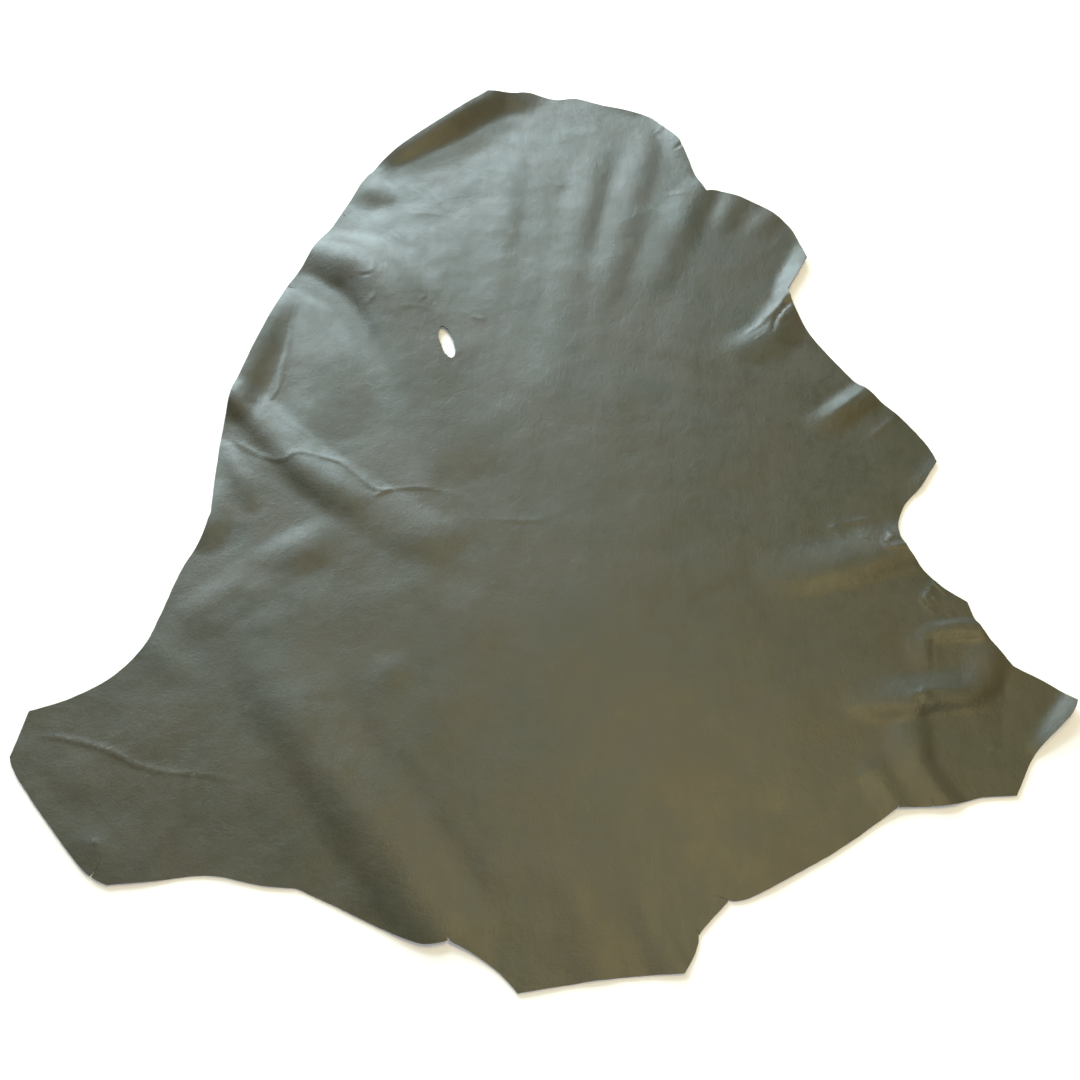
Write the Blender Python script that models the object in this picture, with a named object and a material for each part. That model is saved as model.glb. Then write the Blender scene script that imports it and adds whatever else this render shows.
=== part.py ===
"""Whole finished leather hide, laid grain side up on a flat floor.

The hide lies with its neck towards -Y, its rump towards +Y and its forelegs to both sides.
It is one uneven sheet: the outline is a closed run of curves, the folds are long swellings
that lift the leather off the floor, and everywhere else its flesh side lies flat on Z = 0.
The origin is on the floor, under the middle of the hide's box.
"""
from collections import namedtuple
from math import ceil, cos, hypot, pi, radians, sin

import bpy
from mathutils import Matrix, Vector
from mathutils.geometry import delaunay_2d_cdt

# Driving sizes, in millimetres
MM = 0.001
THICKNESS = 1.2            # of the leather
EDGE_STEP = 12.0           # spacing of the points along the outline
FOLD_STEP = 13.5           # spacing of the points where a fold lifts the leather
FLAT_STEP = 40.5           # spacing of the points where it lies flat
EDGE_MARGIN = 0.55         # free strip inside the edge, as a share of the local spacing
PATH_STEP = 6.0            # spacing of the points along a fold's crest
LIFT_LIMIT = 0.05          # a lift above this counts as a fold
ROW_SHARE = 0.866          # height of one row of an even lattice, as a share of its spacing
MERGE_GAP = 1e-4           # points of the sheet closer than this become one

# Colour and finish
OLIVE = (0.118, 0.112, 0.072, 1.0)
ROUGHNESS = 0.42

# The flay hole in the left side: its top end, length, greatest width and lean
HOLE_TOP = (-111.0, 143.0)
HOLE_LENGTH = 46.0
HOLE_WIDTH = 14.0
HOLE_LEAN = radians(15.0)
HOLE_STEPS = 14

# Stretches of the outline, clockwise from the rump's left corner. Each is one smooth curve
# through its points, and the outline has a corner where one stretch meets the next.
OUTLINE = [
    ("rump end", [(-71, 511), (-39, 516), (-21, 520), (10, 512), (34, 514), (64, 502), (100, 490),
        (121, 479), (138, 456)]),
    ("tail side", [(138, 456), (151, 436), (160, 405), (167, 377), (178, 351)]),
    ("haunch", [(178, 351), (190, 352), (218, 340), (246, 319), (266, 292), (276, 256)]),
    ("flank point", [(276, 256), (278, 241)]),
    ("flank hollow", [(278, 241), (261, 210), (252, 193)]),
    ("right belly", [(252, 193), (256, 172), (271, 130), (293, 91), (315, 58), (345, 24), (366, -11),
        (372, -32)]),
    ("right armpit", [(372, -32), (353, -61), (333, -84), (323, -111), (327, -134), (348, -168),
        (373, -190)]),
    ("elbow", [(373, -190), (379, -216), (401, -255)]),
    ("right foreleg back", [(401, -255), (429, -273), (447, -290)]),
    ("right foreleg end", [(447, -290), (438, -304), (403, -337), (380, -374)]),
    ("right foreleg front", [(380, -374), (350, -376), (322, -383), (281, -385)]),
    ("right neck", [(281, -385), (230, -419), (185, -444), (152, -460), (138, -461)]),
    ("neck notch", [(138, -461), (115, -485)]),
    ("neck corner", [(115, -485), (109, -502), (100, -517)]),
    ("neck end", [(100, -517), (55, -520), (15, -525), (-26, -532)]),
    ("left neck corner", [(-26, -532), (-40, -517), (-61, -502), (-79, -493)]),
    ("left neck", [(-79, -493), (-98, -496), (-126, -486), (-168, -466), (-200, -452)]),
    ("left foreleg front", [(-200, -452), (-229, -449), (-272, -441), (-315, -446), (-349, -449)]),
    ("left foreleg end", [(-349, -449), (-368, -439), (-400, -405), (-440, -358), (-450, -340)]),
    ("left foreleg cut", [(-450, -340), (-443, -298)]),
    ("left armpit", [(-443, -298), (-415, -288), (-382, -268), (-357, -237), (-346, -200)]),
    ("left flank", [(-346, -200), (-336, -157), (-322, -120), (-317, -93)]),
    ("left belly", [(-317, -93), (-320, -40), (-319, 29), (-306, 97), (-278, 202)]),
    ("left haunch", [(-278, 202), (-246, 275), (-203, 378), (-176, 413), (-119, 465), (-71, 511)]),
]

# Folds, each a row of stations along its crest: the place, the lift there, and how far the
# fold reaches to the left and to the right of somebody who walks along it.
Station = namedtuple("Station", "x y lift left right")
FOLDS = {
    "rump curl": [
        Station(-200, 396, 0, 30, 24), Station(-176, 422, 8, 40, 32), Station(-143, 452, 12, 44, 38),
        Station(-119, 474, 14, 46, 40), Station(-86, 508, 15, 46, 44), Station(-64, 524, 14, 46, 46),
        Station(-36, 526, 7, 40, 44), Station(-14, 528, 2.5, 36, 38), Station(4, 526, 0, 30, 30)],
    "haunch knuckle": [
        Station(-208, 370, 3, 18, 20), Station(-191, 350, 3.2, 20, 22), Station(-172, 331, 0, 16, 18)],
    "haunch roll": [
        Station(-249, 256, 7, 40, 36), Station(-219, 240, 9.5, 50, 44), Station(-192, 219, 10, 56, 46),
        Station(-171, 189, 9, 58, 48), Station(-152, 149, 6.5, 60, 52), Station(-131, 95, 4.5, 62, 56),
        Station(-101, 18, 2.8, 60, 56), Station(-72, -54, 0, 54, 50)],
    "belly curl": [
        Station(-315, 15, 0, 20, 22), Station(-313, 43, 4.5, 20, 28), Station(-309, 81, 7, 20, 32),
        Station(-301, 125, 7, 20, 34), Station(-290, 168, 5, 20, 30), Station(-277, 200, 0, 20, 22)],
    "belly swell": [
        Station(-264, 183, 0, 50, 36), Station(-236, 110, 2.6, 56, 38), Station(-218, 44, 2, 54, 38),
        Station(-199, -5, 0, 44, 36)],
    "shoulder roll": [
        Station(-316, 45, 3.5, 30, 16), Station(-294, 24, 4.4, 32, 20), Station(-270, -3, 4.8, 32, 22),
        Station(-246, -26, 4.8, 32, 24), Station(-219, -49, 4.8, 32, 28),
        Station(-192, -69, 4.6, 32, 32), Station(-166, -85, 4, 32, 34), Station(-137, -104, 3.6, 32, 36),
        Station(-111, -120, 2.8, 32, 34), Station(-81, -134, 0, 28, 30)],
    "shoulder bump": [
        Station(-328, -213, 0, 24, 34), Station(-308, -195, 2.6, 26, 36),
        Station(-284, -174, 2.6, 26, 36), Station(-265, -155, 1.5, 24, 34),
        Station(-247, -140, 2.6, 24, 34), Station(-227, -127, 3.2, 24, 34),
        Station(-206, -112, 1.6, 22, 30), Station(-185, -98, 0, 20, 26)],
    "shoulder curl": [
        Station(-321, -51, 0, 18, 18), Station(-320, -85, 3, 26, 18), Station(-322, -110, 3.5, 28, 18),
        Station(-329, -135, 0, 20, 18)],
    "foreleg ridge": [
        Station(-289, -196, 0, 44, 34), Station(-260, -240, 1.8, 52, 36),
        Station(-225, -294, 2.4, 56, 38), Station(-193, -340, 2.5, 58, 38),
        Station(-163, -384, 2.6, 58, 38), Station(-134, -422, 2.8, 58, 38),
        Station(-109, -459, 2.8, 56, 38), Station(-87, -490, 2.6, 52, 36)],
    "left foreleg roll": [
        Station(-429, -320, 0.3, 30, 26), Station(-376, -332, 0.8, 34, 30),
        Station(-318, -352, 0.7, 34, 30), Station(-247, -363, 0, 30, 30)],
    "rump streak one": [
        Station(-32, 443, 0, 22, 28), Station(-45, 353, 1.2, 24, 28), Station(-52, 257, 1.1, 24, 30),
        Station(-65, 147, 0, 24, 28)],
    "rump streak two": [
        Station(66, 443, 0, 22, 26), Station(45, 352, 1.5, 24, 30), Station(29, 264, 1.2, 26, 30),
        Station(12, 139, 0.9, 28, 30), Station(-3, 33, 0, 26, 28)],
    "rump streak three": [
        Station(123, 464, 0.5, 22, 26), Station(105, 389, 1.3, 24, 30), Station(81, 284, 1.1, 26, 30),
        Station(54, 175, 0.8, 28, 30), Station(36, 85, 0, 26, 28)],
    "rump streak four": [
        Station(174, 358, 1.6, 22, 28), Station(158, 322, 2.2, 26, 32), Station(138, 274, 1.8, 28, 32),
        Station(113, 214, 1, 28, 32), Station(93, 157, 0, 28, 28)],
    "tail curl": [
        Station(142, 472, 3, 20, 22), Station(156, 436, 6, 20, 26), Station(166, 402, 3, 20, 26),
        Station(171, 374, 0, 18, 22)],
    "flank curl": [
        Station(286, 267, 1.5, 18, 20), Station(279, 235, 6.5, 22, 24), Station(265, 207, 7, 22, 24),
        Station(255, 189, 4.5, 20, 20)],
    "flank fold": [
        Station(177, 107, 0, 24, 26), Station(205, 118, 2.4, 26, 32), Station(228, 133, 3.6, 26, 34),
        Station(241, 153, 4.4, 26, 32), Station(251, 168, 5, 26, 30), Station(261, 183, 4.6, 24, 28)],
    "belly fold": [
        Station(252, 7, 0, 18, 20), Station(277, 22, 3, 20, 22), Station(298, 39, 4.6, 20, 22),
        Station(322, 56, 5.4, 20, 22)],
    "belly tip curl": [
        Station(379, -20, 0, 20, 20), Station(375, -39, 2, 26, 20), Station(358, -60, 1.8, 24, 20),
        Station(342, -77, 0, 20, 20)],
    "elbow fold": [
        Station(183, -166, 0, 34, 24), Station(227, -163, 2.6, 40, 24), Station(273, -153, 4.6, 42, 24),
        Station(301, -144, 5.6, 42, 24), Station(328, -136, 6.2, 40, 24)],
    "foreleg fold": [
        Station(248, -291, 0, 24, 16), Station(280, -293, 3, 30, 18), Station(310, -289, 4.6, 30, 18),
        Station(337, -285, 4.8, 30, 18), Station(360, -281, 4, 28, 18), Station(376, -265, 3.2, 26, 18),
        Station(384, -238, 2.2, 24, 18), Station(382, -218, 0, 20, 16)],
    "foreleg rib": [
        Station(311, -287, 0, 10, 24), Station(307, -321, 3.1, 13, 30), Station(307, -346, 3.4, 14, 30),
        Station(315, -367, 2.8, 14, 28), Station(327, -384, 1.8, 13, 26)],
    "foreleg curl": [
        Station(458, -280, 5, 30, 24), Station(451, -296, 7.5, 30, 24), Station(435, -315, 7.5, 30, 24),
        Station(417, -334, 4.5, 28, 22), Station(406, -345, 0, 24, 20)],
}


def clear_scene():
    for old in list(bpy.data.objects):
        bpy.data.objects.remove(old, do_unlink=True)


# Curves

def between(before, start, end, after, share):
    """Point at this share of the way from start to end, on a curve eased by its neighbours."""
    return 0.5 * (2 * start
                  + (end - before) * share
                  + (2 * before - 5 * start + 4 * end - after) * share ** 2
                  + (3 * start - before - 3 * end + after) * share ** 3)


def smooth_run(rows, step):
    """Rows of numbers along one smooth curve, whose first two numbers are its place."""
    knots = [Vector(row) for row in rows]
    knots = [2 * knots[0] - knots[1]] + knots + [2 * knots[-1] - knots[-2]]
    run = [tuple(knots[1])]
    for before, start, end, after in zip(knots, knots[1:], knots[2:], knots[3:]):
        pieces = max(1, ceil(hypot(end[0] - start[0], end[1] - start[1]) / step))
        run += [tuple(between(before, start, end, after, piece / pieces)) for piece in range(1, pieces + 1)]
    return run


def outline_points():
    edge = []
    for _, points in OUTLINE:
        edge += smooth_run(points, EDGE_STEP)[:-1]
    return edge


def hole_points():
    """A long ellipse that hangs from its top end and leans."""
    ring = []
    for step in range(HOLE_STEPS):
        turn = 2 * pi * step / HOLE_STEPS
        x = HOLE_WIDTH / 2 * sin(turn)
        y = -HOLE_LENGTH / 2 * (1 - cos(turn))
        ring.append((HOLE_TOP[0] + x * cos(HOLE_LEAN) - y * sin(HOLE_LEAN),
                     HOLE_TOP[1] + x * sin(HOLE_LEAN) + y * cos(HOLE_LEAN)))
    return ring


# Heights

def crest_runs():
    return [[Station(*row) for row in smooth_run(stations, PATH_STEP)] for stations in FOLDS.values()]


def fold_lift(run, x, y):
    """Lift of one fold at a place: greatest on the crest, and nothing past the fold's reach."""
    nearest = None
    for start, end in zip(run, run[1:]):
        along_x = end.x - start.x
        along_y = end.y - start.y
        length = hypot(along_x, along_y)
        share = ((x - start.x) * along_x + (y - start.y) * along_y) / length ** 2
        share = min(1.0, max(0.0, share))
        off_x = x - start.x - share * along_x
        off_y = y - start.y - share * along_y
        away = hypot(off_x, off_y)
        if nearest is None or away < nearest[0]:
            on_left = along_x * off_y - along_y * off_x > 0
            nearest = (away, share, start, end, on_left)
    away, share, start, end, on_left = nearest
    reach = start.left + share * (end.left - start.left)
    if not on_left:
        reach = start.right + share * (end.right - start.right)
    lift = start.lift + share * (end.lift - start.lift)
    if away >= reach or lift <= 0:
        return 0.0
    return lift * (1 - (away / reach) ** 2) ** 2


def lift_at(runs, x, y):
    return sum(fold_lift(run, x, y) for run in runs)


# Places inside the outline

def inside(ring, x, y):
    crossings = False
    for (x1, y1), (x2, y2) in zip(ring, ring[1:] + ring[:1]):
        if (y1 > y) != (y2 > y) and x < x1 + (y - y1) * (x2 - x1) / (y2 - y1):
            crossings = not crossings
    return crossings


def gap_to(ring, x, y):
    """Distance from a place to the nearest side of a ring."""
    least = None
    for (x1, y1), (x2, y2) in zip(ring, ring[1:] + ring[:1]):
        side_x = x2 - x1
        side_y = y2 - y1
        share = ((x - x1) * side_x + (y - y1) * side_y) / (side_x ** 2 + side_y ** 2)
        share = min(1.0, max(0.0, share))
        away = hypot(x - x1 - share * side_x, y - y1 - share * side_y)
        least = away if least is None else min(least, away)
    return least


def lattice(step, reach):
    """Places in rows, each row half a step aside of the last."""
    rows = ceil(reach / (step * ROW_SHARE))
    columns = ceil(reach / step)
    for row in range(-rows, rows + 1):
        for column in range(-columns, columns + 1):
            yield (column + 0.5 * (row % 2)) * step, row * step * ROW_SHARE


def inner_points(edge, hole, runs):
    """Close places where a fold lifts the leather or fades out, and wide ones where it lies flat."""
    reach = max(max(abs(x), abs(y)) for x, y in edge)
    close = []
    for x, y in lattice(FOLD_STEP, reach):
        if inside(edge, x, y) and not inside(hole, x, y) and lift_at(runs, x, y) > LIFT_LIMIT:
            if min(gap_to(edge, x, y), gap_to(hole, x, y)) > EDGE_MARGIN * FOLD_STEP:
                close.append((x, y))
    wide = []
    for x, y in lattice(FLAT_STEP, reach):
        if inside(edge, x, y) and not inside(hole, x, y) and lift_at(runs, x, y) <= LIFT_LIMIT:
            if min(gap_to(edge, x, y), gap_to(hole, x, y)) > EDGE_MARGIN * FOLD_STEP:
                wide.append((x, y))
    return close + wide


# The sheet

def leather_material():
    material = bpy.data.materials.new("olive leather")
    material.use_nodes = True
    shader = material.node_tree.nodes["Principled BSDF"]
    shader.inputs["Base Color"].default_value = OLIVE
    shader.inputs["Roughness"].default_value = ROUGHNESS
    shader.inputs["Metallic"].default_value = 0.0
    return material


def sheet_mesh():
    """The flesh side of the hide, as triangles that face up."""
    edge = outline_points()
    hole = hole_points()
    runs = crest_runs()
    flat = edge + hole + inner_points(edge, hole, runs)
    first = len(edge)
    sides = [(i, (i + 1) % first) for i in range(first)]
    sides += [(first + i, first + (i + 1) % len(hole)) for i in range(len(hole))]
    places = [Vector(place) for place in flat]
    corners, _, triangles, _, _, _ = delaunay_2d_cdt(places, sides, [], 1, MERGE_GAP)
    kept = []
    for triangle in triangles:
        x = sum(corners[i].x for i in triangle) / 3
        y = sum(corners[i].y for i in triangle) / 3
        if inside(edge, x, y) and not inside(hole, x, y):
            kept.append(triangle)
    points = [(place.x * MM, place.y * MM, lift_at(runs, place.x, place.y) * MM) for place in corners]
    mesh = bpy.data.meshes.new("hide")
    mesh.from_pydata(points, [], kept)
    mesh.update()
    return mesh


def centre_on_origin(hide):
    """Put the origin on the floor, under the middle of the hide's box."""
    bpy.context.view_layer.update()
    corners = hide.evaluated_get(bpy.context.evaluated_depsgraph_get()).bound_box
    middle_x = (min(corner[0] for corner in corners) + max(corner[0] for corner in corners)) / 2
    middle_y = (min(corner[1] for corner in corners) + max(corner[1] for corner in corners)) / 2
    hide.data.transform(Matrix.Translation((-middle_x, -middle_y, 0)))


def make_hide():
    hide = bpy.data.objects.new("hide", sheet_mesh())
    bpy.context.scene.collection.objects.link(hide)
    hide.data.materials.append(leather_material())
    hide.data.shade_smooth()
    wall = hide.modifiers.new("leather", "SOLIDIFY")
    wall.thickness = THICKNESS * MM
    wall.offset = 1.0
    centre_on_origin(hide)
    return hide


def main():
    clear_scene()
    make_hide()


main()
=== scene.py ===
from collections import namedtuple
from math import ceil, cos, hypot, radians, sin

import bmesh
import bpy
import numpy as np
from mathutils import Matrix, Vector
from mathutils import noise
from mathutils.geometry import delaunay_2d_cdt
from mathutils.kdtree import KDTree


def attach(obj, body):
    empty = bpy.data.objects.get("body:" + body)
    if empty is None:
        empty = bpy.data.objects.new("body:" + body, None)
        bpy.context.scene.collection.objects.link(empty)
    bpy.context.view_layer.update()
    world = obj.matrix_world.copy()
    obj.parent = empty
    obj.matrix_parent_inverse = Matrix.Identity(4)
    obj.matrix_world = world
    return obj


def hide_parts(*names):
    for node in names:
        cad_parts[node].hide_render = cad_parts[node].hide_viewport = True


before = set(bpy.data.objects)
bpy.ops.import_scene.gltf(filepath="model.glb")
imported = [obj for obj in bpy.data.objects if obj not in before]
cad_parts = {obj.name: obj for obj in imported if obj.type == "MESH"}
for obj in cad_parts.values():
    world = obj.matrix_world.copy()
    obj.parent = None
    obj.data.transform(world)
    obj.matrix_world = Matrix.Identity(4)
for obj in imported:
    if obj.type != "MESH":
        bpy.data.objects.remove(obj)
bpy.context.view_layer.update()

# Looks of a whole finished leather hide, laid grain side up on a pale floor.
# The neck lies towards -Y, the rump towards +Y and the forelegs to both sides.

# Sizes of the sheet, in millimetres where nothing else is said
MM = 0.001                   # metres in a millimetre
TABLE_ZERO = (1.5, 6.0)      # from the middle of the hide's box to the zero of the tables below
THICKNESS = 1.2              # of the leather
FLAT_SIZE = (0.90, 1.06)     # metres, of the rectangle that the hide fills when flat
EDGE_STEP = 2.8              # spacing of the points along the outline
HOLE_STEP = 0.7              # and round the flay hole
SHEET_STEP = 4.5             # spacing of the points inside the sheet
CREASE_STEP = 2.3            # and beside a sharp crease
CREASE_REACH = 6.0           # how far from its crest a crease has close points
CREST_STEP = 4.0             # spacing of the points along a crest
CREST_CROWD = 0.75           # crests keep points this far apart, as a share of the crease spacing
CREST_MARGIN = 0.7           # and this far from the edge
CREASE_MARGIN = 0.65         # the points beside a crest stay this far from it
EDGE_MARGIN = 0.55           # free strip inside the edge, as a share of the local spacing
EDGE_SPREAD = 1.4            # beside the edge the spacing is at most this many times the outline's
ROW_SHARE = 0.866            # height of one row of an even lattice, as a share of its spacing
FAR = 1e9                    # farther than any point of the sheet
SAME_POINT = 1e-4            # points of the sheet closer than this become one
SAME_CORNER = 1e-6           # and the solid's corners, in metres
CORNER_TURN = radians(26)    # the outline keeps a sharper turn as a corner
SHARP_ANGLE = radians(50)    # the sheet is shaded smooth across a lesser turn
WALL_LEAN = 0.6              # the up part of the normal is less than this on the solid's cut edge
REST_LIFT = 0.7              # mean height of the slack leather above the floor

# Folds and creases, each a row of stations along its crest: the place, the lift there, and how
# far it reaches to the left and to the right of somebody who walks along it. A trough has a
# negative lift.
Station = namedtuple("Station", "x y lift left right")

# The solid's own folds
FOLDS = {
    "rump curl": [
        Station(-200, 396, 0, 30, 24), Station(-176, 422, 8, 40, 32), Station(-143, 452, 12, 44, 38),
        Station(-119, 474, 14, 46, 40), Station(-86, 508, 15, 46, 44), Station(-64, 524, 14, 46, 46),
        Station(-36, 526, 7, 40, 44), Station(-14, 528, 2.5, 36, 38), Station(4, 526, 0, 30, 30)],
    "haunch knuckle": [
        Station(-208, 370, 3, 18, 20), Station(-191, 350, 3.2, 20, 22), Station(-172, 331, 0, 16, 18)],
    "haunch roll": [
        Station(-249, 256, 7, 40, 36), Station(-219, 240, 9.5, 50, 44), Station(-192, 219, 10, 56, 46),
        Station(-171, 189, 9, 58, 48), Station(-152, 149, 6.5, 60, 52), Station(-131, 95, 4.5, 62, 56),
        Station(-101, 18, 2.8, 60, 56), Station(-72, -54, 0, 54, 50)],
    "belly curl": [
        Station(-315, 15, 0, 20, 22), Station(-313, 43, 4.5, 20, 28), Station(-309, 81, 7, 20, 32),
        Station(-301, 125, 7, 20, 34), Station(-290, 168, 5, 20, 30), Station(-277, 200, 0, 20, 22)],
    "belly swell": [
        Station(-264, 183, 0, 50, 36), Station(-236, 110, 2.6, 56, 38), Station(-218, 44, 2, 54, 38),
        Station(-199, -5, 0, 44, 36)],
    "shoulder roll": [
        Station(-316, 45, 3.5, 30, 16), Station(-294, 24, 4.4, 32, 20), Station(-270, -3, 4.8, 32, 22),
        Station(-246, -26, 4.8, 32, 24), Station(-219, -49, 4.8, 32, 28),
        Station(-192, -69, 4.6, 32, 32), Station(-166, -85, 4, 32, 34), Station(-137, -104, 3.6, 32, 36),
        Station(-111, -120, 2.8, 32, 34), Station(-81, -134, 0, 28, 30)],
    "shoulder bump": [
        Station(-328, -213, 0, 24, 34), Station(-308, -195, 2.6, 26, 36),
        Station(-284, -174, 2.6, 26, 36), Station(-265, -155, 1.5, 24, 34),
        Station(-247, -140, 2.6, 24, 34), Station(-227, -127, 3.2, 24, 34),
        Station(-206, -112, 1.6, 22, 30), Station(-185, -98, 0, 20, 26)],
    "shoulder curl": [
        Station(-321, -51, 0, 18, 18), Station(-320, -85, 3, 26, 18), Station(-322, -110, 3.5, 28, 18),
        Station(-329, -135, 0, 20, 18)],
    "foreleg ridge": [
        Station(-289, -196, 0, 44, 34), Station(-260, -240, 1.8, 52, 36),
        Station(-225, -294, 2.4, 56, 38), Station(-193, -340, 2.5, 58, 38),
        Station(-163, -384, 2.6, 58, 38), Station(-134, -422, 2.8, 58, 38),
        Station(-109, -459, 2.8, 56, 38), Station(-87, -490, 2.6, 52, 36)],
    "left foreleg roll": [
        Station(-429, -320, 0.3, 30, 26), Station(-376, -332, 0.8, 34, 30),
        Station(-318, -352, 0.7, 34, 30), Station(-247, -363, 0, 30, 30)],
    "rump streak one": [
        Station(-32, 443, 0, 22, 28), Station(-45, 353, 1.2, 24, 28), Station(-52, 257, 1.1, 24, 30),
        Station(-65, 147, 0, 24, 28)],
    "rump streak two": [
        Station(66, 443, 0, 22, 26), Station(45, 352, 1.5, 24, 30), Station(29, 264, 1.2, 26, 30),
        Station(12, 139, 0.9, 28, 30), Station(-3, 33, 0, 26, 28)],
    "rump streak three": [
        Station(123, 464, 0.5, 22, 26), Station(105, 389, 1.3, 24, 30), Station(81, 284, 1.1, 26, 30),
        Station(54, 175, 0.8, 28, 30), Station(36, 85, 0, 26, 28)],
    "rump streak four": [
        Station(174, 358, 1.6, 22, 28), Station(158, 322, 2.2, 26, 32), Station(138, 274, 1.8, 28, 32),
        Station(113, 214, 1, 28, 32), Station(93, 157, 0, 28, 28)],
    "tail curl": [
        Station(142, 472, 3, 20, 22), Station(156, 436, 6, 20, 26), Station(166, 402, 3, 20, 26),
        Station(171, 374, 0, 18, 22)],
    "flank curl": [
        Station(286, 267, 1.5, 18, 20), Station(279, 235, 6.5, 22, 24), Station(265, 207, 7, 22, 24),
        Station(255, 189, 4.5, 20, 20)],
    "flank fold": [
        Station(177, 107, 0, 24, 26), Station(205, 118, 2.4, 26, 32), Station(228, 133, 3.6, 26, 34),
        Station(241, 153, 4.4, 26, 32), Station(251, 168, 5, 26, 30), Station(261, 183, 4.6, 24, 28)],
    "belly fold": [
        Station(252, 7, 0, 18, 20), Station(277, 22, 3, 20, 22), Station(298, 39, 4.6, 20, 22),
        Station(322, 56, 5.4, 20, 22)],
    "belly tip curl": [
        Station(379, -20, 0, 20, 20), Station(375, -39, 2, 26, 20), Station(358, -60, 1.8, 24, 20),
        Station(342, -77, 0, 20, 20)],
    "elbow fold": [
        Station(183, -166, 0, 34, 24), Station(227, -163, 2.6, 40, 24), Station(273, -153, 4.6, 42, 24),
        Station(301, -144, 5.6, 42, 24), Station(328, -136, 6.2, 40, 24)],
    "foreleg fold": [
        Station(248, -291, 0, 24, 16), Station(280, -293, 3, 30, 18), Station(310, -289, 4.6, 30, 18),
        Station(337, -285, 4.8, 30, 18), Station(360, -281, 4, 28, 18), Station(376, -265, 3.2, 26, 18),
        Station(384, -238, 2.2, 24, 18), Station(382, -218, 0, 20, 16)],
    "foreleg rib": [
        Station(311, -287, 0, 10, 24), Station(307, -321, 3.1, 13, 30), Station(307, -346, 3.4, 14, 30),
        Station(315, -367, 2.8, 14, 28), Station(327, -384, 1.8, 13, 26)],
    "foreleg curl": [
        Station(458, -280, 5, 30, 24), Station(451, -296, 7.5, 30, 24), Station(435, -315, 7.5, 30, 24),
        Station(417, -334, 4.5, 28, 22), Station(406, -345, 0, 24, 20)],
}

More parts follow.
